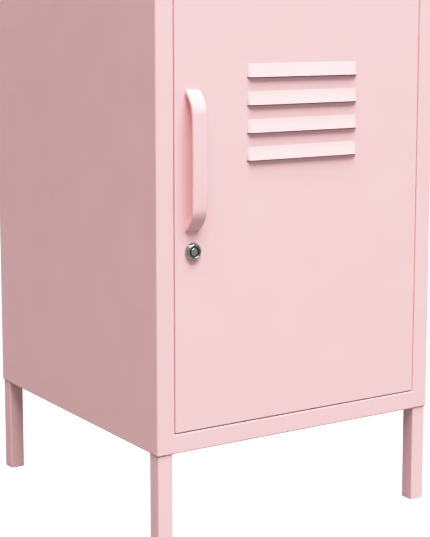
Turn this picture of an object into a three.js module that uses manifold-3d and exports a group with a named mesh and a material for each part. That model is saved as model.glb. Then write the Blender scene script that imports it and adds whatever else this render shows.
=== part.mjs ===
// A small steel locker cabinet on four square legs: one door hinged on the right, with four
// pressed louvres, a bow handle and a tubular cam lock, and one shelf inside.
// Millimetres, +Z up. The origin is on the floor under the middle of the object's outline,
// handle and back screws included. The door faces -Y.
import * as THREE from "three";
import { mergeVertices } from "three/addons/utils/BufferGeometryUtils.js";
import { ConvexGeometry } from "three/addons/geometries/ConvexGeometry.js";
import Module from "manifold-3d";

// ---- Driving dimensions -------------------------------------------------------------------
const WIDTH = 380;
const DEPTH = 400; // front face to back face, without handle and screw heads
const HEIGHT = 700;
const LEG_HEIGHT = 115.6;
const SHEET = 0.8; // every panel is folded from this sheet
const SEAM = 0.3; // gap between pieces that touch

const FRAME_FACE = 21.7; // width of the front frame around the opening
const REBATE = 21; // depth of the opening that the door closes into
const STOP = 10; // width of the flange behind the door's edge
const SKIRT = 24; // depth of the frame's foot under the bottom panel
const LID_FLANGE = 18;
const SIDE_FOOT = 25; // width of the side panel's fold over the legs
const BACK_RETURN = 18;
const FLOOR_FLANGE = 12;

const LEG_SIZE = 18.6; // square tube
const LEG_WALL = 1.2;
const LEG_INSET = 1.4; // from the side face and from the front or back face
const LEG_CAP = 5; // welded and tapped plate that closes the tube's top
const FOOT_PAD = 3;
const FOOT_PLUG = 12;
const BOLT_R = 3;
const BOLT_HEAD_R = 6;
const BOLT_HEAD = 4;

const DOOR_GAP = 1.1;
const DOOR_THICK = 15;
const DOOR_LIP = 10;

const LOUVRE_COUNT = 4;
const LOUVRE_PITCH = 30.2;
const LOUVRE_WIDTH = 150;
const LOUVRE_RISE = 15; // height of a hood
const LOUVRE_REACH = 4.2; // how far a hood's lip stands out
const LOUVRE_END = 4.5; // how far the ends of a hood lean in
const LOUVRE_SLOT = 1.2; // height of the slot cut in the sheet under a lip
const LOUVRE_TOP_LIP = 521.5; // height of the highest hood's lip

const HANDLE_LOW = 359;
const HANDLE_HIGH = 510;
const HANDLE_WIDTH = 17.5;
const HANDLE_X = -145.5;
const HANDLE_REACH = 16.8;
const HANDLE_BOW = 0.8; // the part of the reach that is the grip's bow
const HANDLE_STRAP = 3;
const HANDLE_SLOPE = 26; // height over which the strap comes out from the door
const HANDLE_FOOT = 5.2; // height of the strap's end on the door
const HANDLE_SCREW_Z = 3.2; // the fixing screws, in from the handle's ends
const HANDLE_SCREW_R = 1.25;
const HANDLE_SCREW_HEAD_R = 2.6;

const LOCK_X = -145;
const LOCK_Z = 336.5;
const LOCK_BEZEL_R = 10;
const LOCK_PROUD = 4.5;
const BEZEL_SLOPE = [[0, 3.6], [0.9, 1.8], [1.7, 0.4], [2.2, 0]]; // [in from the rim, behind the front]
const LOCK_SHANK_R = 8;
const LOCK_PLUG_R = 6.5;
const LOCK_LONG = 20; // length of the shank behind the front face
const KEYWAY_R = 5.85; // the ring that a tubular key enters
const KEYWAY_DEEP = 5; // its floor, behind the front face
const POST_R = 4.05;
const CAM_FRONT = 22.5; // depth at which the cam turns, just behind the stop flange
const CAM_THICK = 2;
const CAM_REACH = 24;
const CAM_WIDTH = 14;

const PIN_R = 1.75; // hinge pins at the door's two right-hand corners
const PIN_HEAD_R = 3;
const PIN_HEAD = 1.5;
const PIN_REACH = 7; // how far a pin goes into the door
const BUSH_R = 2.8;
const BUSH_FLANGE = 1.5; // its flange's width and thickness
const BUSH_LONG = 6;
const PIN_IN = 11; // hinge axis in from the door's right edge
const PIN_BACK = 4.2; // hinge axis behind the front face

const SHELF_TOP = 400;
const SHELF_EDGE = 18;
const SHELF_FRONT = 40;
const BRACKET_LONG = 40;
const BRACKET_ARM = 15;
const BRACKET_SHEET = 1.2;
const BRACKET_Y = { front: 70, back: 330 };

const SCREW_R = 2;
const SCREW_HEAD_R = 4;
const SCREW_HEAD = 1.6;
const BACK_SCREW_Z = { low: 150, middle: 408, high: 666 };
const BUMPER_Z = { lower: 190, upper: 620 };
const BUMPER_R = 4;
const BUMPER_STEM_R = 1.5;

const FRAME_FOLD = 14; // depth of the frame's side folds, inside the side panels
const STIFFENER_X = 120;
const STIFFENER_HALF = 15; // half the channel's width, without its flanges
const STIFFENER_DEPTH = 10;
const STIFFENER_FLANGE = 10;
const STIFFENER_END = 20; // how far its ends stay from the door's ends

// ---- Derived places -----------------------------------------------------------------------
const SIDE = WIDTH / 2;
const INSET = SHEET + SEAM; // a fold that lies inside its neighbour's sheet
const BOTTOM = LEG_HEIGHT;
const FLOOR_Z = BOTTOM + 2 * INSET; // underside of the bottom panel
const FLOOR_X = SIDE - 2 * INSET;
const OPEN_X = SIDE - FRAME_FACE;
const OPEN_LOW = BOTTOM + FRAME_FACE;
const OPEN_HIGH = HEIGHT - FRAME_FACE;
const DOOR_X = OPEN_X - DOOR_GAP;
const DOOR_LOW = OPEN_LOW + DOOR_GAP;
const DOOR_HIGH = OPEN_HIGH - DOOR_GAP;
const LEG_X = SIDE - LEG_INSET - LEG_SIZE / 2;
const LEG_FRONT = LEG_INSET + LEG_SIZE / 2;
const LEG_TOP = BOTTOM - SEAM;
const HOLLOW = LEG_SIZE / 2 - LEG_WALL;
const PIN_X = DOOR_X - PIN_IN;
const BACK_SCREW_X = SIDE - BACK_RETURN / 2;
const CORNERS = {
  front_left: { x: -LEG_X, y: LEG_FRONT },
  front_right: { x: LEG_X, y: LEG_FRONT },
  back_left: { x: -LEG_X, y: DEPTH - LEG_FRONT },
  back_right: { x: LEG_X, y: DEPTH - LEG_FRONT },
};
const SIDES = { left: -1, right: 1 };
const OUTLINE_BACK = DEPTH + SEAM + SCREW_HEAD;
const BODY_Y = (HANDLE_REACH - OUTLINE_BACK) / 2; // centres the outline on the origin

// ---- Solids: three.js makes the shapes, manifold-3d joins and cuts them --------------------
const wasm = await Module();
wasm.setup();

// Faces that should be flush are flush to the last bit when every corner is on one fine grid.
const onGrid = (value) => Math.round(value * 1000) / 1000;

function solid(geometry) {
  const bare = geometry.index ? geometry.toNonIndexed() : geometry.clone();
  bare.deleteAttribute("normal");
  bare.deleteAttribute("uv");
  const merged = mergeVertices(bare, 1e-4);
  return new wasm.Manifold(
    new wasm.Mesh({
      numProp: 3,
      vertProperties: merged.attributes.position.array.map(onGrid),
      triVerts: new Uint32Array(merged.index.array),
    }),
  );
}

function geometryOf(made) {
  const mesh = made.getMesh();
  const geometry = new THREE.BufferGeometry();
  geometry.setAttribute("position", new THREE.BufferAttribute(mesh.vertProperties, 3));
  geometry.setIndex(new THREE.BufferAttribute(mesh.triVerts, 1));
  geometry.computeVertexNormals();
  return geometry;
}

const join = (...solids) => solids.reduce((a, b) => a.add(b));
const cut = (body, ...tools) => tools.reduce((a, b) => a.subtract(b), body);

// A box from its two corners, given in either order.
function box(x0, x1, y0, y1, z0, z1) {
  const geometry = new THREE.BoxGeometry(Math.abs(x1 - x0), Math.abs(y1 - y0), Math.abs(z1 - z0));
  geometry.translate((x0 + x1) / 2, (y0 + y1) / 2, (z0 + z1) / 2);
  return solid(geometry);
}

// A round bar along Z, and one along Y.
function barZ(x, y, z0, z1, r, sides = 16) {
  const geometry = new THREE.CylinderGeometry(r, r, z1 - z0, sides);
  geometry.rotateX(Math.PI / 2);
  geometry.translate(x, y, (z0 + z1) / 2);
  return solid(geometry);
}

function barY(x, z, y0, y1, r, sides = 16) {
  const geometry = new THREE.CylinderGeometry(r, r, y1 - y0, sides);
  geometry.translate(x, (y0 + y1) / 2, z);
  return solid(geometry);
}

// A piece turned about the Y axis through (x, z). points are [radius, y], back end first.
function turnedY(x, z, points, sides = 32) {
  const outline = points.map(([r, y]) => new THREE.Vector2(r, -y));
  const geometry = new THREE.LatheGeometry(outline, sides);
  geometry.rotateX(Math.PI);
  geometry.translate(x, 0, z);
  return solid(geometry);
}

// A ring of sheet around the door opening: `wall` wide inward from x and z0..z1, y0 to y1 deep.
function ringY(x, z0, z1, wall, y0, y1) {
  const outer = box(-x, x, y0, y1, z0, z1);
  return cut(outer, box(wall - x, x - wall, y0 - 1, y1 + 1, z0 + wall, z1 - wall));
}

// The same ring lying flat.
function ringZ(x, y0, y1, wall, z0, z1) {
  const outer = box(-x, x, y0, y1, z0, z1);
  return cut(outer, box(wall - x, x - wall, y0 + wall, y1 - wall, z0 - 1, z1 + 1));
}

// ---- Body panels --------------------------------------------------------------------------
const legBoltHoles = () =>
  Object.values(CORNERS).map(({ x, y }) => barZ(x, y, BOTTOM - 1, FLOOR_Z + 2, BOLT_R + SEAM));

const backScrewHoles = () =>
  Object.values(SIDES).flatMap((side) =>
    Object.values(BACK_SCREW_Z).map((z) =>
      barY(side * BACK_SCREW_X, z, DEPTH - 5, DEPTH + 1, SCREW_R + SEAM),
    ),
  );

function sidePanel(side) {
  const x = side * SIDE;
  const high = HEIGHT - INSET;
  const wall = box(x, x - side * SHEET, INSET, DEPTH, BOTTOM, high);
  const back = box(x, x - side * BACK_RETURN, DEPTH - SHEET, DEPTH, BOTTOM, high);
  const foot = box(x, x - side * SIDE_FOOT, INSET, DEPTH, BOTTOM, BOTTOM + SHEET);
  return cut(join(wall, back, foot), ...legBoltHoles(), ...backScrewHoles());
}

function topPanel() {
  const plate = box(-SIDE, SIDE, 0, DEPTH, HEIGHT - SHEET, HEIGHT);
  const low = HEIGHT - LID_FLANGE;
  const flange = ringZ(SIDE - INSET, INSET, DEPTH - INSET, SHEET, low, HEIGHT);
  return join(plate, flange);
}

function bottomPanel() {
  const back = DEPTH - 2 * INSET;
  const plate = box(-FLOOR_X, FLOOR_X, 2, back, FLOOR_Z, FLOOR_Z + SHEET);
  const flanges = Object.values(SIDES).map((side) =>
    box(
      side * FLOOR_X, side * (FLOOR_X - SHEET), SKIRT, back,
      FLOOR_Z, FLOOR_Z + SHEET + FLOOR_FLANGE,
    ),
  );
  return cut(join(plate, ...flanges), ...legBoltHoles());
}

function backPanel() {
  const x = SIDE - INSET;
  const y = DEPTH - INSET;
  const sheet = box(-x, x, y - SHEET, y, BOTTOM + INSET, HEIGHT - LID_FLANGE - SEAM);
  const clear = box(-x, x, y - 5, y + 1, BOTTOM, FLOOR_Z + SHEET + SEAM);
  return cut(sheet, clear, ...backScrewHoles());
}

// The face round the door, folded back into the opening and once more behind the door's edge.
function frontFrame() {
  const face = box(-SIDE, SIDE, 0, SHEET, BOTTOM, HEIGHT - INSET);
  const folds = Object.values(SIDES).map((side) => {
    const x = side * (SIDE - INSET);
    return box(x, x - side * SHEET, 0, FRAME_FOLD, FLOOR_Z + 2 * SHEET, HEIGHT - LID_FLANGE - 1);
  });
  const skirt = box(INSET - SIDE, SIDE - INSET, 0, SKIRT, BOTTOM + INSET, BOTTOM + INSET + SHEET);
  const ring = [OPEN_X + SHEET, OPEN_LOW - SHEET, OPEN_HIGH + SHEET];
  const reveal = ringY(...ring, SHEET, 0, REBATE);
  const stop = ringY(...ring, STOP + SHEET, REBATE - SHEET, REBATE);
  const opening = box(-OPEN_X, OPEN_X, -1, REBATE - SHEET, OPEN_LOW, OPEN_HIGH);
  const pinHole = barZ(PIN_X, PIN_BACK, OPEN_LOW - 2, OPEN_HIGH + 2, PIN_R + SEAM);
  const bumperHoles = Object.values(BUMPER_Z).map((z) =>
    barY(STOP / 2 - OPEN_X, z, REBATE - 2, REBATE + 1, BUMPER_STEM_R + SEAM),
  );
  return cut(
    join(cut(face, opening), ...folds, skirt, reveal, stop),
    pinHole, ...bumperHoles, ...legBoltHoles(),
  );
}

// ---- Legs, feet and fixings ---------------------------------------------------------------
function leg({ x, y }) {
  const h = LEG_SIZE / 2;
  const tube = box(x - h, x + h, y - h, y + h, FOOT_PAD + SEAM, LEG_TOP);
  const inside = box(x - HOLLOW, x + HOLLOW, y - HOLLOW, y + HOLLOW, 0, LEG_TOP - LEG_CAP);
  return cut(tube, inside, barZ(x, y, LEG_TOP - LEG_CAP - 1, LEG_TOP + 1, BOLT_R + SEAM));
}

function foot({ x, y }) {
  const h = LEG_SIZE / 2;
  const p = HOLLOW - SEAM;
  return join(
    box(x - h, x + h, y - h, y + h, 0, FOOT_PAD),
    box(x - p, x + p, y - p, y + p, 0, FOOT_PAD + FOOT_PLUG),
  );
}

function legBolt({ x, y }) {
  const seat = FLOOR_Z + SHEET + SEAM;
  const head = barZ(x, y, seat, seat + BOLT_HEAD, BOLT_HEAD_R, 6);
  return join(head, barZ(x, y, LEG_TOP - LEG_CAP - 6, seat + 1, BOLT_R));
}

// A pan-head screw whose head stands on the back of the face at `seat` and whose shank is `long`.
function screwY(x, z, seat, long, r = SCREW_R, headR = SCREW_HEAD_R) {
  const head = barY(x, z, seat, seat + SCREW_HEAD, headR);
  return join(head, barY(x, z, seat - long, seat + 0.5, r));
}

const backScrew = (side, z) => screwY(side * BACK_SCREW_X, z, DEPTH + SEAM, 8);

function bumper(z) {
  const x = STOP / 2 - OPEN_X;
  const front = REBATE - SHEET - SEAM;
  return join(
    barY(x, z, DOOR_THICK + SEAM, front, BUMPER_R),
    barY(x, z, front - 1, REBATE + 2, BUMPER_STEM_R),
  );
}

// ---- Shelf --------------------------------------------------------------------------------
function shelf() {
  const x = SIDE - 5;
  const back = DEPTH - 6;
  const low = SHELF_TOP - SHELF_EDGE;
  const plate = box(-x, x, SHELF_FRONT, back, SHELF_TOP - SHEET, SHELF_TOP);
  const edge = ringZ(x, SHELF_FRONT, back, SHEET, low, SHELF_TOP);
  const lips = [SHELF_FRONT, back - 8].map((y) => box(-x, x, y, y + 8, low, low + SHEET));
  return join(plate, edge, ...lips);
}

function shelfBracket(side, y) {
  const x = side * (SIDE - INSET);
  const high = SHELF_TOP - SHELF_EDGE - SEAM;
  const far = y + BRACKET_LONG;
  return join(
    box(x, x - side * BRACKET_ARM, y, far, high - BRACKET_SHEET, high),
    box(x, x - side * BRACKET_SHEET, y, far, high - BRACKET_ARM, high),
  );
}

// ---- Door ---------------------------------------------------------------------------------
// The outside of one louvre's hood, or its inside with `by` taken off all round.
function louvreHood(lip, by) {
  const low = by ? lip - LOUVRE_SLOT : lip;
  const high = lip + LOUVRE_RISE - by;
  const end = LOUVRE_WIDTH / 2 - by;
  const reach = by - LOUVRE_REACH;
  const back = SHEET + by;
  const corners = Object.values(SIDES).flatMap((side) => [
    [side * end, back, low],
    [side * end, back, high],
    [side * end, 0, low],
    [side * end, 0, high - 1.5],
    [side * (end - 1.5), 0, high],
    [side * (end - LOUVRE_END), reach, low],
    [side * (end - LOUVRE_END), reach, lip + 1.2 - by / 4],
  ]);
  return solid(new ConvexGeometry(corners.map((p) => new THREE.Vector3(...p))));
}

function doorPanel() {
  const lips = Array.from({ length: LOUVRE_COUNT }, (_, i) => LOUVRE_TOP_LIP - i * LOUVRE_PITCH);
  const pan = box(-DOOR_X, DOOR_X, 0, DOOR_THICK, DOOR_LOW, DOOR_HIGH);
  const inside = box(
    SHEET - DOOR_X, DOOR_X - SHEET, SHEET, DOOR_THICK - SHEET, DOOR_LOW + SHEET,
    DOOR_HIGH - SHEET,
  );
  const back = box(
    DOOR_LIP - DOOR_X, DOOR_X - DOOR_LIP, SHEET, DOOR_THICK + 1, DOOR_LOW + DOOR_LIP,
    DOOR_HIGH - DOOR_LIP,
  );
  return cut(
    join(cut(pan, inside, back), ...lips.map((lip) => louvreHood(lip, 0))),
    ...lips.map((lip) => louvreHood(lip, SHEET)),
    ...handleScrewPlaces.map((z) => barY(HANDLE_X, z, -1, 2, HANDLE_SCREW_R + SEAM)),
    barY(LOCK_X, LOCK_Z, -1, 2, LOCK_SHANK_R + SEAM, 32),
    barZ(PIN_X, PIN_BACK, DOOR_LOW - 1, DOOR_HIGH + 1, BUSH_R + SEAM),
  );
}

// A channel welded to the back of the door's skin.
function doorStiffener() {
  const front = SHEET + SEAM;
  const back = front + STIFFENER_DEPTH;
  const low = DOOR_LOW + STIFFENER_END;
  const high = DOOR_HIGH - STIFFENER_END;
  const places = (x0, x1) => [STIFFENER_X + x0, STIFFENER_X + x1];
  const half = STIFFENER_HALF;
  const web = box(...places(-half, half), back - SHEET, back, low, high);
  const walls = Object.values(SIDES).flatMap((side) => [
    box(...places(side * half, side * (half - SHEET)), front, back, low, high),
    box(
      ...places(side * (half - SHEET), side * (half + STIFFENER_FLANGE)),
      front, front + SHEET, low, high,
    ),
  ]);
  return join(web, ...walls);
}

function hingeBush(end) {
  const flange = end > 0 ? DOOR_HIGH - SHEET - SEAM : DOOR_LOW + SHEET + SEAM;
  const ordered = (a, b) => [a, b].sort((c, d) => c - d);
  const [low, high] = ordered(flange, flange - end * BUSH_FLANGE);
  const [from, to] = ordered(flange - end * BUSH_LONG, flange + end * (SEAM + SHEET));
  const body = join(
    cut(
      barZ(PIN_X, PIN_BACK, low, high, BUSH_R + BUSH_FLANGE),
      box(PIN_X - BUSH_LONG, PIN_X + BUSH_LONG, INSET - DOOR_THICK, INSET, low - 1, high + 1),
    ),
    barZ(PIN_X, PIN_BACK, from, to, BUSH_R),
  );
  return cut(body, barZ(PIN_X, PIN_BACK, from - 1, to + 1, PIN_R + SEAM));
}

function hingePin(end) {
  const opening = end > 0 ? OPEN_HIGH : OPEN_LOW;
  const seat = opening + end * (SHEET + SEAM);
  const [low, high] = [seat, seat + end * PIN_HEAD].sort((a, b) => a - b);
  const tip = opening - end * (DOOR_GAP + PIN_REACH);
  const [from, to] = [tip, seat + end].sort((a, b) => a - b);
  const head = barZ(PIN_X, PIN_BACK, low, high, PIN_HEAD_R);
  return join(head, barZ(PIN_X, PIN_BACK, from, to, PIN_R));
}

// ---- Handle -------------------------------------------------------------------------------
const handleScrewPlaces = [HANDLE_LOW + HANDLE_SCREW_Z, HANDLE_HIGH - HANDLE_SCREW_Z];

// A flat strap that curves out from the door into a slightly bowed grip and curves back.
// The lower half is drawn as (height above the end, distance out); the upper half mirrors it.
function handle() {
  const half = (HANDLE_HIGH - HANDLE_LOW) / 2;
  const flat = HANDLE_REACH - HANDLE_BOW;
  const under = flat - HANDLE_STRAP;
  const outer = new THREE.Path();
  outer.moveTo(0, SEAM);
  outer.lineTo(0.3, 1.2);
  outer.quadraticCurveTo(HANDLE_SLOPE * 0.46, flat, HANDLE_SLOPE, flat);
  outer.quadraticCurveTo(half * 0.65, HANDLE_REACH, half, HANDLE_REACH);
  const inner = new THREE.Path();
  inner.moveTo(half, HANDLE_REACH - HANDLE_STRAP);
  inner.quadraticCurveTo(half * 0.65, HANDLE_REACH - HANDLE_STRAP, HANDLE_SLOPE + 1, under);
  inner.quadraticCurveTo(HANDLE_SLOPE * 0.56, under, HANDLE_FOOT, SEAM);
  const lowHalf = (path) => path.getPoints(8).map((p) => new THREE.Vector2(-p.y, HANDLE_LOW + p.x));
  const highHalf = (points) =>
    points.map((p) => new THREE.Vector2(p.x, HANDLE_LOW + HANDLE_HIGH - p.y)).reverse();
  const [out, back] = [lowHalf(outer), lowHalf(inner)];
  const outline = [...out, ...highHalf(out).slice(1), ...highHalf(back).slice(0, -1), ...back];
  const geometry = new THREE.ExtrudeGeometry(new THREE.Shape(outline), {
    depth: HANDLE_WIDTH, bevelEnabled: false,
  });
  const [x, y, z] = [0, 1, 2].map((i) => new THREE.Vector3().setComponent(i, 1));
  geometry.applyMatrix4(new THREE.Matrix4().makeBasis(y, z, x));
  geometry.translate(HANDLE_X - HANDLE_WIDTH / 2, 0, 0);
  const holes = handleScrewPlaces.map((z) => barY(HANDLE_X, z, -2.5, 1, HANDLE_SCREW_R + SEAM));
  return cut(solid(geometry), ...holes);
}

const handleScrew = (z) =>
  screwY(HANDLE_X, z, SHEET + SEAM, 3.2, HANDLE_SCREW_R, HANDLE_SCREW_HEAD_R);

// ---- Lock ---------------------------------------------------------------------------------
const BORE_R = LOCK_PLUG_R + SEAM;
const NUT_FRONT = SHEET + SEAM;

function lockHousing() {
  const outline = [
    [BORE_R, LOCK_LONG],
    [LOCK_SHANK_R, LOCK_LONG],
    [LOCK_SHANK_R, -SEAM],
    [LOCK_BEZEL_R, -SEAM],
    ...BEZEL_SLOPE.map(([inset, behind]) => [LOCK_BEZEL_R - inset, behind - LOCK_PROUD]),
    [BORE_R + 0.3, -LOCK_PROUD],
    [BORE_R, -LOCK_PROUD + 0.3],
    [BORE_R, LOCK_LONG],
  ];
  return turnedY(LOCK_X, LOCK_Z, outline);
}

function lockNut() {
  const nut = barY(LOCK_X, LOCK_Z, NUT_FRONT, NUT_FRONT + 4, 11, 6);
  return cut(nut, barY(LOCK_X, LOCK_Z, 0, 8, LOCK_SHANK_R + SEAM, 32));
}

function lockPlug() {
  const face = -LOCK_PROUD + 0.5;
  const outline = [
    [0, CAM_FRONT - SEAM],
    [LOCK_PLUG_R, CAM_FRONT - SEAM],
    [LOCK_PLUG_R, face],
    [KEYWAY_R, face],
    [KEYWAY_R, KEYWAY_DEEP],
    [POST_R, KEYWAY_DEEP],
    [POST_R, face + 0.2],
    [0, face + 0.2],
  ];
  const [inside, outside] = [LOCK_Z + POST_R + 0.4, LOCK_Z + KEYWAY_R + 0.3];
  const notch = box(LOCK_X - 0.9, LOCK_X + 0.9, face - 1, 3, inside, outside);
  const screwHole = barY(LOCK_X, LOCK_Z, 12, CAM_FRONT + 1, SCREW_R + SEAM);
  return cut(turnedY(LOCK_X, LOCK_Z, outline), notch, screwHole);
}

// Hangs straight down when unlocked, so the door is free to open.
function lockCam() {
  const half = CAM_WIDTH / 2;
  const back = CAM_FRONT + CAM_THICK;
  const blade = box(
    LOCK_X - half, LOCK_X + half, CAM_FRONT, back, LOCK_Z - CAM_REACH, LOCK_Z,
  );
  const boss = barY(LOCK_X, LOCK_Z, CAM_FRONT, back, half);
  return cut(join(blade, boss), barY(LOCK_X, LOCK_Z, 20, 30, SCREW_R + SEAM));
}

const camScrew = () => screwY(LOCK_X, LOCK_Z, CAM_FRONT + CAM_THICK + SEAM, 10);

// ---- The cabinet --------------------------------------------------------------------------
const paint = () => new THREE.MeshStandardMaterial({ color: 0xf2d0d2, roughness: 0.45 });
const plated = () =>
  new THREE.MeshStandardMaterial({ color: 0xc9c9c6, roughness: 0.35, metalness: 1 });
const chrome = () =>
  new THREE.MeshStandardMaterial({ color: 0xd5d7d6, roughness: 0.15, metalness: 1 });
const nylon = () => new THREE.MeshStandardMaterial({ color: 0xe9c7c9, roughness: 0.6 });
const rubber = () => new THREE.MeshStandardMaterial({ color: 0x6d6a69, roughness: 0.85 });

const cabinet = new THREE.Group();
cabinet.position.y = BODY_Y;

function add(name, made, material) {
  const mesh = new THREE.Mesh(geometryOf(made), material);
  mesh.name = name;
  cabinet.add(mesh);
}

add("top_panel", topPanel(), paint());
add("bottom_panel", bottomPanel(), paint());
add("back_panel", backPanel(), paint());
add("front_frame", frontFrame(), paint());
for (const [name, side] of Object.entries(SIDES)) {
  add(`${name}_side_panel`, sidePanel(side), paint());
  for (const [place, y] of Object.entries(BRACKET_Y)) {
    add(`shelf_bracket_${place}_${name}`, shelfBracket(side, y), paint());
  }
  for (const [place, z] of Object.entries(BACK_SCREW_Z)) {
    add(`back_screw_${place}_${name}`, backScrew(side, z), plated());
  }
}
add("shelf", shelf(), paint());
for (const [corner, spot] of Object.entries(CORNERS)) {
  add(`leg_${corner}`, leg(spot), paint());
  add(`foot_cap_${corner}`, foot(spot), nylon());
  add(`leg_bolt_${corner}`, legBolt(spot), plated());
}
for (const [place, z] of Object.entries(BUMPER_Z)) {
  add(`door_bumper_${place}`, bumper(z), rubber());
}

add("door_panel", doorPanel(), paint());
add("door_stiffener", doorStiffener(), paint());
for (const [place, end] of Object.entries({ lower: -1, upper: 1 })) {
  add(`hinge_pin_${place}`, hingePin(end), plated());
  add(`hinge_bush_${place}`, hingeBush(end), nylon());
}
add("handle", handle(), paint());
handleScrewPlaces.forEach((z, i) => {
  add(`handle_screw_${["lower", "upper"][i]}`, handleScrew(z), plated());
});

add("lock_housing", lockHousing(), chrome());
add("lock_nut", lockNut(), plated());
add("lock_plug", lockPlug(), chrome());
add("lock_cam", lockCam(), plated());
add("cam_screw", camScrew(), plated());

export default cabinet;
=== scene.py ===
"""A small steel locker cabinet, powder-coated pale pink: its look, built around the CAD frame."""

import math

import bmesh
import bpy
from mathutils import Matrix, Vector


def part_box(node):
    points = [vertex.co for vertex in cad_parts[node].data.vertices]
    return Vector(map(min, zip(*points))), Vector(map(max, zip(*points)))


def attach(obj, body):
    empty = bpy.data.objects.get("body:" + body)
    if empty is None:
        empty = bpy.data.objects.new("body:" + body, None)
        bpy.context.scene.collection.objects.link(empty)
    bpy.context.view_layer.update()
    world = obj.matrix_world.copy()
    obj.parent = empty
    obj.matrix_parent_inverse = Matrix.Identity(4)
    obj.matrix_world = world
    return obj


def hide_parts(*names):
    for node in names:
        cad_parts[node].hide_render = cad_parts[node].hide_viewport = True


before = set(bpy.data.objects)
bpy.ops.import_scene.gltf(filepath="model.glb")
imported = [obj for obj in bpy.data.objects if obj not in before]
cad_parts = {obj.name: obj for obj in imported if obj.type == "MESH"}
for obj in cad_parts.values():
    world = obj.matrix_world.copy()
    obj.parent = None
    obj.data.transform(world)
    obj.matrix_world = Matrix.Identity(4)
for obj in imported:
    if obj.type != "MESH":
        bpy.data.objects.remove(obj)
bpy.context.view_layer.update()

MM = 0.001
WELD = 0.005 * MM  # vertices closer than this are one
NEAR = 1e-7  # heights and widths closer than this are the same
SHARP_ANGLE = 35  # degrees between faces from which an edge stays sharp
ARC_STEPS = 5
CORNER_STEPS = 4  # of the round corners of an outline
CIRCLE_SIDES = 48

# ---- Sizes of the folded, pressed and turned parts ------------------------------------------
SHEET = 0.8 * MM
CORNER_R = 2.0 * MM  # outside of the cabinet's folded corners
BEND_R = 1.3 * MM  # outside of the smaller folds
HAIRLINE = 0.12 * MM  # joint line between two flush sheets
TUCK = 1.1 * MM  # how far a flange lies inside the sheet that covers it
REBATE = 21 * MM  # how far the frame folds back into the doorway
STOP = 10 * MM  # the flange that stands behind the door
SKIRT = 24 * MM  # how far the frame's foot reaches back under the floor
LID_FLANGE = 18 * MM
BACK_RETURN = 18 * MM
SIDE_FOOT = 25 * MM
SHELF_LIP = 8 * MM
BRACKET_SHEET = 1.2 * MM

DOOR_GAP = 1.1 * MM
DOOR_THICK = 15 * MM
DOOR_LIP = 10 * MM
STIFFENER_HALF = 15 * MM
STIFFENER_R = 1 * MM

LOUVRE_COUNT = 4
LOUVRE_PITCH = 30.2 * MM
LOUVRE_WIDTH = 150 * MM
LOUVRE_RISE = 15 * MM
LOUVRE_END = 8 * MM  # how far in from its ends a hood reaches its full height
LOUVRE_SLOT = 1.2 * MM  # how far the cut below a lip reaches down
LOUVRE_TOP_LIP = 521.5 * MM

HANDLE_STRAP = 3 * MM
HANDLE_SLOPE = 26 * MM  # height over which the strap slopes out from the door
HANDLE_BOW = 0.8 * MM  # how far the grip bulges in its middle
HANDLE_FOOT = 5.2 * MM  # height of the face that rests on the door
HANDLE_EDGE_R = 0.6 * MM
HANDLE_EDGE_SHARE = 0.4  # the most of the strap's thickness that its edge takes
HANDLE_TOE = [(0, 0), (0.05 * MM, 0.6 * MM), (0.3 * MM, 1.2 * MM)]  # the foot's eased edge
# Where the strap bends out, as a share of its slope, on its outside and its inside.
HANDLE_BEND_OUT = 0.46
HANDLE_BEND_IN = 0.56
HANDLE_BOW_BEND = 0.65  # where the bow is roundest, as a share of the way to the middle
HANDLE_SHIFT = 1 * MM  # how much further along the inside straightens
HANDLE_SHARP_ANGLE = 45

TUBE_R = 1.6 * MM  # outside corner of the square legs
TUBE_WALL = 1.2 * MM
TUBE_HOLLOW_TOP = 5 * MM  # thickness of the plate that closes a leg's top
PAD_GAP = 0.3 * MM  # between a leg's end and its cap's pad
PAD_R = 0.6 * MM
PLUG_CORNER_R = 0.4 * MM

BOLT_R = 3 * MM
BOLT_TIP_R = 2.4 * MM
BOLT_TIP = 0.6 * MM
BOLT_HEAD = 4 * MM
BOLT_HEAD_R = 6 * MM
BOLT_FACE_R = 4.9 * MM
BOLT_FACE = 0.7 * MM

SCREW_R = 2 * MM
SCREW_TIP_R = 1.4 * MM
SCREW_TIP = 0.8 * MM
SCREW_HEAD = 1.6 * MM
SCREW_RIM = 0.2 * MM
SCREW_UNDER = 0.97  # the head's radius where it sits, as a share
SCREW_WALL = 0.5 * MM  # height of the head's edge, below its crown
SCREW_SIDES = 36
SCREW_TURN = math.radians(5)
# The head's crown, as shares of its radius and its rise, and the recess in it: its reach and
# width as shares of that radius, and its depth.
CROWN = [(0.985, 0.05), (0.93, 0.36), (0.83, 0.66), (0.7, 0.86), (0.56, 1)]
RECESS = [(0.5, 0.11, 0), (0.42, 0.09, 0.9 * MM)]

STEM_R = 1.5 * MM  # of a bumper, where it passes the stop flange
STEM_TIP = 0.4 * MM
BUTTON_FRONT = [(0.55, 0), (0.8, 0.3 * MM), (0.96, 1 * MM)]  # share of radius, behind the front
BUTTON_BACK = [(1, 0.8 * MM), (0.97, 0.35 * MM)]  # share of radius, before the flange
BUTTON_GAP = 0.3 * MM
TIP_SHARE = 0.7  # radius of a stem's or a pin's tip, as a share

PIN_R = 1.75 * MM
PIN_HEAD = 1.5 * MM
PIN_HEAD_EDGE = 0.3 * MM
PIN_HEAD_FACE = 0.9  # radius of its flat top, as a share
PIN_TIP = 0.6 * MM
BUSH_R = 2.8 * MM
BUSH_BORE_R = 2.05 * MM
BUSH_NECK = 1.1 * MM  # how far the bush stands past its flange
BUSH_FLANGE = 1.5 * MM
PIN_SIDES = 32

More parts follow.
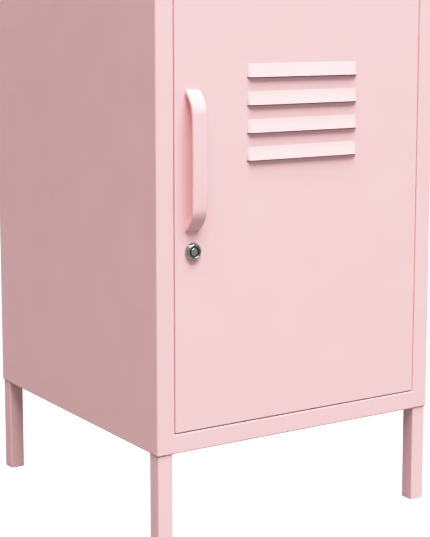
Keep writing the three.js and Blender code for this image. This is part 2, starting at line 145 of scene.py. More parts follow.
LOCK_HOLE_R = 8.3 * MM  # the hole in the door for the lock
LOCK_CELL = 9.4 * MM  # half the side of the flat square round that hole
SHANK_R = 8 * MM
BORE_R = 6.7 * MM
PLUG_R = 6.5 * MM
KEYWAY_R = 5.85 * MM
KEYWAY_DEEP = 9 * MM
KEYWAY_EDGE = 0.1 * MM
NOTCH = 0.3 * MM
NOTCH_HALF_ANGLE = math.radians(10)
POST_R = 4.05 * MM
POST_EDGE = 0.15 * MM
PLUG_SUNK = 0.2 * MM  # how far the plug's ring lies behind its post
PLUG_EDGE = 0.2 * MM
BEZEL_SLOPE = [(0, 3.6), (0.9, 1.8), (1.7, 0.4), (2.2, 0)]  # mm in from the rim, behind the front
BEZEL_ROUND = 0.4 * MM
ROUND_SHARE = 0.45  # the most of an edge that a round takes from either end
BEZEL_GAP = 0.1 * MM  # between the bezel and the door
BORE_EDGE = 0.12 * MM
LOCK_SIDES = 96
NUT_BORE_R = 8.15 * MM
NUT_FACE = 0.86  # radius of its flat faces, as a share of its corners'
NUT_EDGE = 0.6 * MM
CAM_EDGE = 0.3 * MM
CAM_TIP_R = 3 * MM


# ---- The frame: where things are ------------------------------------------------------------
def middle_of(name, axes="xy"):
    """The middle of a node's box, on two axes."""
    low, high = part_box(name)
    return tuple((getattr(low, axis) + getattr(high, axis)) / 2 for axis in axes)


frame_low, frame_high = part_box("front_frame")
door_low, door_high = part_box("door_panel")
top_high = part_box("top_panel")[1]
side_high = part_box("left_side_panel")[1]
bezel_low, bezel_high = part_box("lock_housing")
FACE_Y = frame_low.y  # front of the frame, flush with the door
BACK_Y = side_high.y
SIDE_X = frame_high.x
BOTTOM_Z = frame_low.z
TOP_Z = top_high.z
JOINT_Z = TOP_Z - CORNER_R - HAIRLINE  # where the sides and the frame meet the lid
JOINT_Y = FACE_Y + CORNER_R + HAIRLINE  # where the sides meet the frame
LOUVRE_REACH = FACE_Y - door_low.y
LOCK = middle_of("lock_housing", "xz")


# ---- Meshes ---------------------------------------------------------------------------------
def arc(centre, radius, start, end, steps=ARC_STEPS):
    """Points of an arc about centre, from start to end in degrees."""
    angles = [math.radians(start + (end - start) * i / steps) for i in range(steps + 1)]
    return [(centre[0] + radius * math.cos(a), centre[1] + radius * math.sin(a)) for a in angles]


def loft(rings, closed=False, caps=False, around=True):
    """Vertices and faces through rings of equal length; caps closes the first and the last."""
    size = len(rings[0])
    verts = [tuple(p) for ring in rings for p in ring]
    pairs = list(zip(range(len(rings) - 1), range(1, len(rings))))
    if closed:
        pairs.append((len(rings) - 1, 0))
    faces = []
    for a, b in pairs:
        for i in range(size if around else size - 1):
            j = (i + 1) % size
            faces.append((a * size + i, a * size + j, b * size + j, b * size + i))
    if caps:
        faces.append(tuple(reversed(range(size))))
        faces.append(tuple(range((len(rings) - 1) * size, len(rings) * size)))
    return verts, faces


def joined(*shells):
    """Several (vertices, faces) as one."""
    verts, faces = [], []
    for shell_verts, shell_faces in shells:
        base = len(verts)
        verts += list(shell_verts)
        faces += [tuple(base + i for i in face) for face in shell_faces]
    return verts, faces


def mesh_object(name, shell, material):
    """An object of that shell, its coincident vertices merged and its faces turned outwards."""
    mesh = bpy.data.meshes.new(name)
    mesh.from_pydata(shell[0], [], shell[1])
    made = bmesh.new()
    made.from_mesh(mesh)
    bmesh.ops.remove_doubles(made, verts=made.verts, dist=WELD)
    bmesh.ops.recalc_face_normals(made, faces=made.faces)
    made.to_mesh(mesh)
    made.free()
    obj = bpy.data.objects.new(name, mesh)
    bpy.context.scene.collection.objects.link(obj)
    mesh.materials.append(material)
    return obj


def smooth(obj, angle):
    """Round stretches shade round, and flats stay flat."""
    mesh = obj.data
    mesh.shade_smooth()
    mesh.set_sharp_from_angle(angle=math.radians(angle))
    weighted = obj.modifiers.new("flat faces stay flat", "WEIGHTED_NORMAL")
    weighted.keep_sharp = True
    weighted.weight = 100


def thicken(obj, sheet, outside):
    """Gives a skin the thickness of its sheet, on the side away from outside."""
    mesh = obj.data
    facing = sum(p.normal.dot(Vector(outside)) * p.area for p in mesh.polygons)
    if facing < 0:
        mesh.flip_normals()
    solidify = obj.modifiers.new("sheet", "SOLIDIFY")
    solidify.thickness = sheet
    solidify.offset = -1
    solidify.use_even_offset = True
    graph = bpy.context.evaluated_depsgraph_get()
    thick = bpy.data.meshes.new_from_object(obj.evaluated_get(graph))
    obj.modifiers.clear()
    obj.data = thick
    bpy.data.meshes.remove(mesh)
    thick.name = obj.name


def piece(name, shell, material, body, sheet=None, outside=None, angle=SHARP_ANGLE):
    """A finished piece that stands for the CAD node of its name and moves with body.
    material is a (material, slot) pair, whose slot is not used; a skin becomes sheet thick, away from
    its outside."""
    obj = mesh_object(name + "_made", shell, material[0])
    if sheet:
        thicken(obj, sheet, outside)
    smooth(obj, angle)
    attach(obj, body)
    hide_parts(name)


def outline(left, right, low, high, radii=(0, 0, 0, 0), along=(), up=()):
    """A rectangle's outline from its lower left corner round, as pairs.
    radii are its corners' rounds; along and up are further points on its level and upright edges."""
    corners = [(left, low, 1, 1, 180), (right, low, -1, 1, 270)]
    corners += [(right, high, -1, -1, 0), (left, high, 1, -1, 90)]
    edges = [[(u, low) for u in along], [(right, v) for v in up]]
    edges += [[(u, high) for u in reversed(along)], [(left, v) for v in reversed(up)]]
    points = []
    for (u, v, du, dv, start), radius, edge in zip(corners, radii, edges):
        points += arc((u + du * radius, v + dv * radius), radius, start, start + 90, CORNER_STEPS) + edge
    return points


def upright(points, y):
    """(x, z) pairs standing in the plane at y."""
    return [(u, y, v) for u, v in points]


def level(points, z):
    """(x, y) pairs lying at height z."""
    return [(u, v, z) for u, v in points]


def circle(centre, radius, sides=CIRCLE_SIDES, turn=0):
    """A circle as pairs, its first point at turn; radius may be a function of the angle."""
    angles = [turn + 2 * math.pi * i / sides for i in range(sides)]
    sizes = [radius(a) if callable(radius) else radius for a in angles]
    return [
        (centre[0] + r * math.cos(a), centre[1] + r * math.sin(a)) for a, r in zip(angles, sizes)
    ]


def turned(centre, profile, plane=upright, sides=CIRCLE_SIDES):
    """A turned piece about Y, or about Z with plane=level, through centre.
    profile is (radius, place along the axis) and runs from axis to axis, or is a closed loop."""
    solid = profile[0][0] == 0
    steps = profile[1:-1] if solid else profile
    rings = [plane(circle(centre, radius, sides), place) for radius, place in steps]
    return loft(rings, closed=not solid, caps=solid)


def hexagon(size):
    """The radius of a hexagon of that corner radius, as a function of the angle."""
    sixth = math.pi / 3
    return lambda angle: size * math.cos(sixth / 2) / math.cos(angle % sixth - sixth / 2)


def curve(start, bend, end, steps=8):
    """Points after start of a curve towards bend and on to end."""
    shares = [i / steps for i in range(1, steps + 1)]
    return [
        tuple(
            a * (1 - t) ** 2 + 2 * b * t * (1 - t) + c * t * t for a, b, c in zip(start, bend, end)
        )
        for t in shares
    ]


def bent(points, low, high, put):
    """A strip of sheet whose section is points; put(u, v, along) places them from low to high."""
    return loft([[put(u, v, place) for u, v in points] for place in (low, high)], around=False)


# ---- Materials ------------------------------------------------------------------------------
COAT_DRIFT = 60 * MM
ORANGE_PEEL = 1.6 * MM
POWDER_GRAIN = 0.35 * MM
PLATING_CLOUDS = 3 * MM
MOULDING_DRIFT = 8 * MM


def linear(hex_colour):
    """An sRGB hex colour as linear RGBA."""
    parts = [int(hex_colour[i : i + 2], 16) / 255 for i in (1, 3, 5)]
    rgb = [c / 12.92 if c <= 0.04045 else ((c + 0.055) / 1.055) ** 2.4 for c in parts]
    return (*rgb, 1.0)


def add_node(tree, kind, settings=None, **links):
    """A node with its settings; links are input name = value, or (node, output) to join."""
    node = tree.nodes.new(kind)
    for key, value in (settings or {}).items():
        setattr(node, key, value)
    for key, value in links.items():
        socket = node.inputs[int(key[1:]) if key[1:].isdigit() else key.replace("_", " ")]
        if isinstance(value, tuple) and len(value) == 2 and hasattr(value[0], "outputs"):
            tree.links.new(value[0].outputs[value[1]], socket)
        else:
            socket.default_value = value
    return node


def new_material(name):
    """An empty material with its shader: (material, tree, shader, object coordinates)."""
    material = bpy.data.materials.new(name)
    material.use_nodes = True
    tree = material.node_tree
    place = tree.nodes.new("ShaderNodeTexCoord")
    return material, tree, tree.nodes["Principled BSDF"], (place, "Object")


def mottled(tree, place, size, detail, deep, pale, spread=(0.3, 0.7)):
    """Soft patches size across, from a deep to a pale colour: the noise and the colour output."""
    cloud = add_node(tree, "ShaderNodeTexNoise", Vector=place, Scale=1 / size, Detail=detail)
    tone = add_node(tree, "ShaderNodeValToRGB", Fac=(cloud, "Fac"))
    for stop, position, colour in zip(tone.color_ramp.elements, spread, (deep, pale)):
        stop.position = position
        stop.color = linear(colour)
    return (cloud, "Fac"), tone.outputs[0]


def powder_coat():
    """Polyester powder coat baked on steel: the eye gets a pale pink with a soft satin gloss,
    over fine orange peel."""
    material, tree, shader, place = new_material("pink powder coat")
    # The coat's thickness varies over some 60 mm, which shifts its depth of colour very slightly.
    drift, tone = mottled(tree, place, COAT_DRIFT, 2.0, PAINT_DEEP, PAINT_PALE)
    tree.links.new(tone, shader.inputs["Base Color"])
    # Orange peel: shallow dimples about 1.6 mm apart, over a powder grain of 0.35 mm.
    peel = add_node(tree, "ShaderNodeTexNoise", Vector=place, Scale=1 / ORANGE_PEEL, Detail=1.0)
    grain = add_node(tree, "ShaderNodeTexNoise", Vector=place, Scale=1 / POWDER_GRAIN, Detail=2.0)
    scaled = {"i0": (grain, "Fac"), "i1": 0.3, "i2": (peel, "Fac")}
    both = add_node(tree, "ShaderNodeMath", {"operation": "MULTIPLY_ADD"}, **scaled)
    relief = {"Strength": 0.12, "Distance": 0.02 * MM}
    bump = add_node(tree, "ShaderNodeBump", Height=(both, "Value"), **relief)
    tree.links.new(bump.outputs[0], shader.inputs["Normal"])
    # The gloss is a little uneven where the powder flowed out.
    gloss = add_node(tree, "ShaderNodeMapRange", Value=drift, To_Min=0.36, To_Max=0.44)
    tree.links.new(gloss.outputs[0], shader.inputs["Roughness"])
    shader.inputs["IOR"].default_value = 1.5
    return material


def plated(name, pale, deep, rough_low, rough_high, line_mm):
    """A plated metal: the eye gets a grey sheen with cloudy patches some 3 mm across,
    and fine tool or rolling marks line_mm apart."""
    material, tree, shader, place = new_material(name)
    cloud, tone = mottled(tree, place, PLATING_CLOUDS, 4.0, deep, pale, (0.35, 0.65))
    tree.links.new(tone, shader.inputs["Base Color"])
    spread = {"To_Min": rough_low, "To_Max": rough_high}
    rough = add_node(tree, "ShaderNodeMapRange", Value=cloud, **spread)
    tree.links.new(rough.outputs[0], shader.inputs["Roughness"])
    lines = add_node(
        tree, "ShaderNodeTexNoise", Vector=place, Scale=1 / (line_mm * MM), Detail=1.0
    )
    relief = {"Strength": 0.08, "Distance": 0.01 * MM}
    bump = add_node(tree, "ShaderNodeBump", Height=(lines, "Fac"), **relief)
    tree.links.new(bump.outputs[0], shader.inputs["Normal"])
    shader.inputs["Metallic"].default_value = 1.0
    return material


def moulded(name, pale, deep, rough_low, rough_high, grain_mm):
    """A moulded plastic or rubber: the eye gets an even, matt colour that drifts over some 8 mm,
    with a fine spark-eroded grain."""
    material, tree, shader, place = new_material(name)
    cloud, tone = mottled(tree, place, MOULDING_DRIFT, 3.0, deep, pale)
    tree.links.new(tone, shader.inputs["Base Color"])
    spread = {"To_Min": rough_low, "To_Max": rough_high}
    rough = add_node(tree, "ShaderNodeMapRange", Value=cloud, **spread)
    tree.links.new(rough.outputs[0], shader.inputs["Roughness"])
    grain = add_node(
        tree, "ShaderNodeTexNoise", Vector=place, Scale=1 / (grain_mm * MM), Detail=2.0
    )
    relief = {"Strength": 0.15, "Distance": 0.02 * MM}
    bump = add_node(tree, "ShaderNodeBump", Height=(grain, "Fac"), **relief)
    tree.links.new(bump.outputs[0], shader.inputs["Normal"])
    return material


PAINT_PALE = "#f3c1c3"
PAINT_DEEP = "#f1bec0"
# Each finish is (material, slot).
PAINT = (powder_coat(), "painted_steel")
CHROME = (plated("satin chrome", "#b4b8b5", "#a2a6a3", 0.14, 0.24, 0.25), "chrome")
ZINC = (plated("bright zinc plate", "#c4c5c2", "#a9aba9", 0.3, 0.42, 0.2), "plated_steel")
NYLON = (moulded("tinted nylon", "#eac4c7", "#e5bdc0", 0.5, 0.6, 0.3), "nylon")
RUBBER = (moulded("black rubber", "#3a3838", "#302e2e", 0.75, 0.9, 0.4), "rubber")


# ---- Cabinet panels -------------------------------------------------------------------------
BOTTOM_ROUND = (CORNER_R, CORNER_R, 0, 0)


def less(radii, inset):
    """Corner rounds seen that far in from the edge."""
    return [max(0, radius - inset) for radius in radii]


def front_frame():
    """The face round the door: wrapped round the corners and folded back into the opening.
    A skirt goes back from its foot, above the side panels' feet."""
    rings = []
    for inset, depth in arc((CORNER_R, CORNER_R), CORNER_R, 180, 270):
        edge = (inset - SIDE_X, SIDE_X - inset, BOTTOM_Z + inset, JOINT_Z)
        rings.append(upright(outline(*edge, less(BOTTOM_ROUND, inset)), FACE_Y + depth))
    left, right = door_low.x - DOOR_GAP, door_high.x + DOOR_GAP
    low, high = door_low.z - DOOR_GAP, door_high.z + DOOR_GAP
    fold = arc((BEND_R, BEND_R), BEND_R, 270, 180)
    for out, depth in fold + [(0, REBATE - SHEET), (-STOP, REBATE - SHEET)]:
        edge = (left - out, right + out, low - out, high + out)
        rings.append(upright(outline(*edge), FACE_Y + depth))
    half = SIDE_X - TUCK
    foot = [(FACE_Y + CORNER_R, BOTTOM_Z + TUCK), (FACE_Y + SKIRT, BOTTOM_Z + TUCK)]
    skirt = bent(foot, -half, half, lambda y, z, x: (x, y, z))
    piece("front_frame", joined(loft(rings), skirt), PAINT, "cabinet", SHEET, (0, -1, 0))


def side_panel(name, way):
    """A side wall with its back return and its foot, folded from one sheet."""
    rings = []
    heights = [(0, JOINT_Z)]
    round_foot = arc((CORNER_R, CORNER_R), CORNER_R, 180, 270)
    heights += [(inset, BOTTOM_Z + up) for inset, up in round_foot]
    wall_end = BACK_Y - CORNER_R
    for inset, z in heights:
        turn = arc((SIDE_X - CORNER_R, wall_end), CORNER_R - inset, 0, 90)
        line = [(SIDE_X - inset, JOINT_Y)] + turn + [(SIDE_X - BACK_RETURN, BACK_Y - inset)]
        rings.append([(way * x, y, z) for x, y in line])
    wall = loft(rings, around=False)
    inner = SIDE_X - SIDE_FOOT
    foot = [(SIDE_X - CORNER_R, JOINT_Y), (SIDE_X - CORNER_R, wall_end)]
    foot += [(SIDE_X - BACK_RETURN, wall_end), (inner, wall_end), (inner, JOINT_Y)]
    floor = ([(way * x, y, BOTTOM_Z) for x, y in foot], [tuple(range(len(foot)))])
    piece(name, joined(wall, floor), PAINT, "cabinet", SHEET, (way, 0, 0))


def lid():
    """The top: a shallow pan with rolled edges, whose flange goes down inside the walls."""
    round_all = (CORNER_R,) * 4
    steps = [(inset, TOP_Z - down) for inset, down in arc((CORNER_R, CORNER_R), CORNER_R, 270, 180)]
    steps += [(TUCK, TOP_Z - CORNER_R), (TUCK, TOP_Z - LID_FLANGE)]
    rings = []
    for inset, z in steps:
        edge = (inset - SIDE_X, SIDE_X - inset, FACE_Y + inset, BACK_Y - inset)
        rings.append(level(outline(*edge, less(round_all, inset)), z))
    verts, faces = loft(rings)
    faces.append(tuple(range(len(rings[0]))))
    piece("top_panel", (verts, faces), PAINT, "cabinet", SHEET, (0, 0, 1))


def floor_pan():
    """The cabinet's floor, its two side edges turned up."""
    low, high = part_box("bottom_panel")
    section = [(low.x, high.z)] + arc((low.x + BEND_R, low.z + BEND_R), BEND_R, 180, 270)
    section += [(-x, z) for x, z in reversed(section)]
    front = FACE_Y + SKIRT
    pan = bent(section, front, high.y, lambda x, z, y: (x, y, z))
    flat = [(low.x, low.z), (high.x, low.z)]
    apron = bent(flat, low.y, front - HAIRLINE, lambda x, z, y: (x, y, z))
    piece("bottom_panel", joined(pan, apron), PAINT, "cabinet", SHEET, (0, 0, -1))


def back_sheet():
    """The flat back, held behind by the side panels' returns."""
    low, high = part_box("back_panel")
    sheet = bent([(low.x, low.z), (low.x, high.z)], low.x, high.x, lambda x, z, u: (u, high.y, z))
    piece("back_panel", sheet, PAINT, "cabinet", SHEET, (0, 1, 0))


def shelf():
    """A folded tray turned upside down, with returned lips at front and back."""
    low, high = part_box("shelf")
    round_all = (BEND_R,) * 4
    rings = []
    steps = [(inset, high.z - down) for inset, down in arc((BEND_R, BEND_R), BEND_R, 270, 180)]
    for inset, z in steps + [(0, low.z)]:
        edge = (low.x + inset, high.x - inset, low.y + inset, high.y - inset)
        rings.append(level(outline(*edge, less(round_all, inset)), z))
    verts, faces = loft(rings)
    faces.append(tuple(range(len(rings[0]))))
    half = high.x - BEND_R
    lips = [
        bent([(a, low.z), (b, low.z)], -half, half, lambda y, z, x: (x, y, z))
        for a, b in ((low.y, low.y + SHELF_LIP), (high.y - SHELF_LIP, high.y))
    ]
    piece("shelf", joined((verts, faces), *lips), PAINT, "cabinet", SHEET, (0, 0, 1))


def shelf_bracket(name):
    """A short angle spot-welded to the side panel."""
    low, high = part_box(name)
    way = 1 if low.x > 0 else -1
    wall = high.x if way > 0 else low.x
    tip = low.x if way > 0 else high.x
    centre = (wall - way * BEND_R, high.z - BEND_R)
    turn = arc(centre, BEND_R, 0 if way > 0 else 180, 90)
    section = [(wall, low.z)] + turn + [(tip, high.z)]
    strip = bent(section, low.y, high.y, lambda x, z, y: (x, y, z))
    piece(name, strip, PAINT, "cabinet", BRACKET_SHEET, (way, 0, 1))


front_frame()
side_panel("left_side_panel", -1)
side_panel("right_side_panel", 1)
lid()
floor_pan()
back_sheet()
shelf()
for side in ("left", "right"):
    for place in ("front", "back"):
        shelf_bracket(f"shelf_bracket_{place}_{side}")


# ---- Legs and feet --------------------------------------------------------------------------
def square(middle, half, radius, z):
    """A square outline with round corners at height z."""
    x, y = middle
    return level(outline(x - half, x + half, y - half, y + half, (radius,) * 4), z)


def leg(corner):
    """A square tube, open below and closed by a plate above."""
    low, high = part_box(f"leg_{corner}")
    middle = middle_of(f"leg_{corner}")
    half = (high.x - low.x) / 2
    hollow = (half - TUBE_WALL, TUBE_R - TUBE_WALL)
    rings = [
        square(middle, *hollow, high.z - TUBE_HOLLOW_TOP),
        square(middle, *hollow, low.z),
        square(middle, half, TUBE_R, low.z),
        square(middle, half, TUBE_R, high.z),
    ]
    piece(f"leg_{corner}", loft(rings, caps=True), PAINT, "cabinet")


def foot_cap(corner):
    """A moulded pad with a plug that sits in the leg's end."""
    low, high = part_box(f"foot_cap_{corner}")
    leg_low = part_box(f"leg_{corner}")[0]
    middle = middle_of(f"foot_cap_{corner}")
    half = (high.x - low.x) / 2
    plug = half - TUBE_WALL - PAD_GAP
    top = leg_low.z - PAD_GAP
    rings = [
        square(middle, plug, PLUG_CORNER_R, high.z),
        square(middle, plug, PLUG_CORNER_R, top),
        square(middle, half - PAD_GAP, TUBE_R, top),
        square(middle, half, TUBE_R, top - PAD_GAP),
    ]
    for out, up in arc((0, PAD_R), PAD_R, 0, -90):
        rings.append(square(middle, half - PAD_R + out, TUBE_R, low.z + up))
    piece(f"foot_cap_{corner}", loft(rings, caps=True), NYLON, "cabinet")


def leg_bolt(corner):
    """A hexagon-head screw down into the leg's top plate."""
    name = f"leg_bolt_{corner}"
    low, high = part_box(name)
    middle = middle_of(name)
    seat = high.z - BOLT_HEAD
    steps = [
        (BOLT_TIP_R, low.z),
        (BOLT_R, low.z + BOLT_TIP),
        (BOLT_R, seat),
        (hexagon(BOLT_HEAD_R), seat),
        (hexagon(BOLT_HEAD_R), high.z - BOLT_FACE),
        (BOLT_FACE_R, high.z),
    ]
    rings = [level(circle(middle, size), z) for size, z in steps]
    piece(name, loft(rings, caps=True), ZINC, "cabinet")


for corner in ("front_left", "front_right", "back_left", "back_right"):
    leg(corner)
    foot_cap(corner)
    leg_bolt(corner)


# ---- Door -----------------------------------------------------------------------------------
LIPS = [LOUVRE_TOP_LIP - i * LOUVRE_PITCH for i in range(LOUVRE_COUNT)]
# Lines of the skin's grid: mm above a hood's lip, and mm in from its ends.
HOOD_ROWS = [0, 0.4, 1, 2, 4, 6, 8, 10, 12, 13, 13.7, 14.2, 14.5, 14.8, 15]
HOOD_COLUMNS = [0, 0.1, 0.3, 0.7, 1.3, 2.1, 3.2, 4.6, 6.2, 8, 15, 35, 55]


def at_lip(z):
    """Whether a height is that of a hood's lip."""
    return any(abs(z - lip) < NEAR for lip in LIPS)


def hood(x, z):
    """How far the skin stands out at (x, z): a flat slope down to the lip, with curved ends."""
    end = LOUVRE_WIDTH / 2 - abs(x)
    for lip in LIPS:
        down = lip + LOUVRE_RISE - z
        if end > 0 and 0 < down <= LOUVRE_RISE + NEAR:
            slope = LOUVRE_REACH * down / LOUVRE_RISE
            short = max(0, 1 - end / LOUVRE_END)
            return slope * math.sqrt(1 - short * short)
    return 0


def lock_cell(columns, rows, sides=CIRCLE_SIDES):
    """The flat square of skin between two columns and two rows, with the lock's hole in it."""
    (left, right), (low, high) = columns, rows
    verts = upright([(left, low), (right, low), (right, high), (left, high)], FACE_Y)
    verts += upright(circle(LOCK, LOCK_HOLE_R, sides, math.pi), FACE_Y)
    quarter = sides // 4
    faces = []
    for k in range(4):
        for i in range(k * quarter, (k + 1) * quarter):
            faces.append((k, 4 + i, 4 + (i + 1) % sides))
        faces.append((k, (k + 1) % 4, 4 + (k + 1) * quarter % sides))
    return verts, faces


def door_face(columns, rows):
    """The flat of the door with its hoods pressed out, open below each lip and for the lock."""
    half = LOUVRE_WIDTH / 2
    xs = [door_low.x + BEND_R] + columns + [door_high.x - BEND_R]
    zs = [door_low.z + BEND_R] + rows + [door_high.z - BEND_R]
    verts, faces = [], []
    for low, high in zip(zs, zs[1:]):
        for left, right in zip(xs, xs[1:]):
            in_slot = at_lip(high) and -half - NEAR < left < half - NEAR
            in_lock_cell = left == columns[0] and low == rows[0]
            if in_slot or in_lock_cell:
                continue
            cell = [(left, FACE_Y - hood(left, low), low), (right, FACE_Y - hood(right, low), low)]
            for x in (right, left):
                out = 0 if at_lip(high) else hood(x, high)
                cell.append((x, FACE_Y - out, high))
            faces.append(tuple(range(len(verts), len(verts) + 4)))
            verts += cell
    return verts, faces


def door_skin():
    """The door: a pan with pressed louvres, its edges folded back and in."""
    columns = [step * MM - LOUVRE_WIDTH / 2 for step in HOOD_COLUMNS]
    columns += [-x for x in reversed(columns)]
    columns = [LOCK[0] - LOCK_CELL, LOCK[0] + LOCK_CELL] + columns
    rows = sorted(lip + step * MM for lip in LIPS for step in [-LOUVRE_SLOT / MM] + HOOD_ROWS)
    rows = [LOCK[1] - LOCK_CELL, LOCK[1] + LOCK_CELL] + rows
    steps = arc((BEND_R, BEND_R), BEND_R, 270, 180)
    steps += [(i, DOOR_THICK - d) for i, d in arc((BEND_R, BEND_R), BEND_R, 180, 270)]
    steps += [(DOOR_LIP, DOOR_THICK)]
    rings = []
    for inset, depth in steps:
        edge = (door_low.x + inset, door_high.x - inset, door_low.z + inset, door_high.z - inset)
        radii = less((BEND_R,) * 4, inset)
        rings.append(upright(outline(*edge, radii, columns, rows), FACE_Y + depth))
    shell = joined(door_face(columns, rows), lock_cell(columns[:2], rows[:2]), loft(rings))
    piece("door_panel", shell, PAINT, "door", SHEET, (0, -1, 0))


def stiffener():
    """A hat channel spot-welded up the hinge side of the door's back."""
    low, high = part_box("door_stiffener")
    x = (low.x + high.x) / 2
    wall = x + STIFFENER_HALF
    r = STIFFENER_R
    right = [(high.x, low.y)]
    right += [(wall + r - u, v + low.y) for u, v in arc((0, r), r, 270, 360)]
    right += [(wall - r + u, high.y - r + v) for u, v in arc((0, 0), r, 0, 90)]
    section = right + [(2 * x - u, v) for u, v in reversed(right)]
    strip = bent(section, low.z, high.z, lambda u, v, z: (u, v, z))
    piece("door_stiffener", strip, PAINT, "door", SHEET, (0, 1, 0))


def handle():
    """A steel strap that slopes out from the door into a grip and back."""
    low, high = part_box("handle")
    half = (high.z - low.z) / 2
    reach = high.y - low.y
    flat = reach - HANDLE_BOW
    slope = HANDLE_SLOPE
    steps = 12
    bend = (slope * HANDLE_BEND_OUT, flat)
    outer = HANDLE_TOE + curve(HANDLE_TOE[-1], bend, (slope, flat), steps)
    outer += curve(outer[-1], (half * HANDLE_BOW_BEND, reach), (half, reach))
    under = flat - HANDLE_STRAP
    inside = reach - HANDLE_STRAP
    foot = (HANDLE_FOOT, 0)
    bend = (slope * HANDLE_BEND_IN, under)
    inner = [foot] * len(HANDLE_TOE) + curve(foot, bend, (slope + HANDLE_SHIFT, under), steps)
    inner += curve(inner[-1], (half * HANDLE_BOW_BEND, inside), (half, inside))
    pairs = list(zip(outer, inner))
    rings = []
    for (up_out, out), (up_in, into) in pairs:
        rings.append(strap_ring(low, high, (low.z + up_out, out), (low.z + up_in, into)))
    for (up_out, out), (up_in, into) in pairs[-2::-1]:
        rings.append(strap_ring(low, high, (high.z - up_out, out), (high.z - up_in, into)))
    piece("handle", loft(rings, caps=True), PAINT, "door", angle=HANDLE_SHARP_ANGLE)


def strap_ring(low, high, outer, inner):
    """The strap's section between an outer and an inner (z, distance out from the door)."""
    a = Vector((0, high.y - outer[1], outer[0]))
    b = Vector((0, high.y - inner[1], inner[0]))
    thick = (b - a).length
    along = (b - a).normalized()
    r = min(HANDLE_EDGE_R, thick * HANDLE_EDGE_SHARE)
    section = outline(low.x, high.x, 0, thick, (r,) * 4)
    return [tuple(Vector((u, 0, 0)) + a + along * v) for u, v in section]


door_skin()
stiffener()
handle()


# ---- Screws, pins and buffers ----------------------------------------------------------------
def cross(size, width):
    """A cross recess of 36 points that go round with a 36-sided circle."""
    points = []
    for quarter in range(4):
        c, s = math.cos(quarter * math.pi / 2), math.sin(quarter * math.pi / 2)
        for u, v in ((size, width), (width, width), (width, size)):
            points += [(c * u - s * v, s * u + c * v)] * 3
    return points


def pan_screw(name, body):
    """A pan-head screw with a cross recess; its head faces the back."""
    low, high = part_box(name)
    x, z = middle_of(name, "xz")
    head = (high.x - low.x) / 2
    seat = high.y - SCREW_HEAD
    steps = [(SCREW_TIP_R, low.y), (SCREW_R, low.y + SCREW_TIP), (SCREW_R, seat)]
    steps += [(head * SCREW_UNDER, seat), (head, seat + SCREW_RIM)]
    rise = SCREW_HEAD - SCREW_WALL
    steps += [(head * size, seat + SCREW_WALL + rise * up) for size, up in CROWN]
    rings = [upright(circle((x, z), r, SCREW_SIDES, SCREW_TURN), y) for r, y in steps]
    for size, width, depth in RECESS:
        points = cross(head * size, head * width)
        rings.append([(x + u, high.y - depth, z + v) for u, v in points])
    piece(name, loft(rings, caps=True), ZINC, body)


def bumper(name):
    """A soft button pressed into the stop flange for the door to close against."""
    low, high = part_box(name)
    centre = middle_of(name, "xz")
    r = (high.x - low.x) / 2
    face = FACE_Y + REBATE - SHEET
    profile = [(0, low.y)]
    profile += [(r * size, low.y + behind) for size, behind in BUTTON_FRONT]
    profile += [(r * size, face - before) for size, before in BUTTON_BACK]
    profile += [(STEM_R, face - BUTTON_GAP), (STEM_R, high.y - STEM_TIP)]
    profile += [(STEM_R * TIP_SHARE, high.y), (0, high.y)]
    piece(name, turned(centre, profile), RUBBER, "cabinet")


def hinge_pin(end, way):
    """A headed pivot pin in the frame; way is 1 where it points down from above, or -1."""
    low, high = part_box(f"hinge_pin_{end}")
    centre = middle_of(f"hinge_pin_{end}")
    head, tip = (high.z, low.z) if way > 0 else (low.z, high.z)
    big = (high.x - low.x) / 2
    seat = head - way * PIN_HEAD
    profile = [(0, head), (big * PIN_HEAD_FACE, head), (big, head - way * PIN_HEAD_EDGE)]
    profile += [(big, seat), (PIN_R, seat), (PIN_R, tip + way * PIN_TIP)]
    profile += [(PIN_R * TIP_SHARE, tip), (0, tip)]
    piece(f"hinge_pin_{end}", turned(centre, profile, level, PIN_SIDES), ZINC, "cabinet")


def hinge_bush(end, way):
    """The flanged bush in the door, centred on the pin that it turns on."""
    low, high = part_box(f"hinge_bush_{end}")
    centre = middle_of(f"hinge_pin_{end}")
    flange = (high.x - low.x) / 2
    top, foot = (high.z, low.z) if way > 0 else (low.z, high.z)
    upper = top - way * BUSH_NECK
    lower = upper - way * BUSH_FLANGE
    loop = [(BUSH_BORE_R, top), (BUSH_R, top), (BUSH_R, upper), (flange, upper)]
    loop += [(flange, lower), (BUSH_R, lower), (BUSH_R, foot), (BUSH_BORE_R, foot)]
    piece(f"hinge_bush_{end}", turned(centre, loop, level, PIN_SIDES), NYLON, "door")


for side in ("left", "right"):
    for place in ("low", "middle", "high"):
        pan_screw(f"back_screw_{place}_{side}", "cabinet")
for place in ("lower", "upper"):
    pan_screw(f"handle_screw_{place}", "door")
    bumper(f"door_bumper_{place}")
for end, way in (("lower", -1), ("upper", 1)):
    hinge_pin(end, way)
    hinge_bush(end, way)
pan_screw("cam_screw", "lock")


# ---- Lock -----------------------------------------------------------------------------------
def rounded(profile, size):
    """A turned profile with each of its inner corners cut by a small round."""
    made = [profile[0]]
    for before, here, after in zip(profile, profile[1:], profile[2:]):
        a, b, c = Vector(before), Vector(here), Vector(after)
        r = min(size, (a - b).length * ROUND_SHARE, (c - b).length * ROUND_SHARE)
        start = b + (a - b).normalized() * r
        end = b + (c - b).normalized() * r
        made.append(tuple(start))
        made += curve(tuple(start), tuple(b), tuple(end), steps=4)
    made.append(profile[-1])
    return made


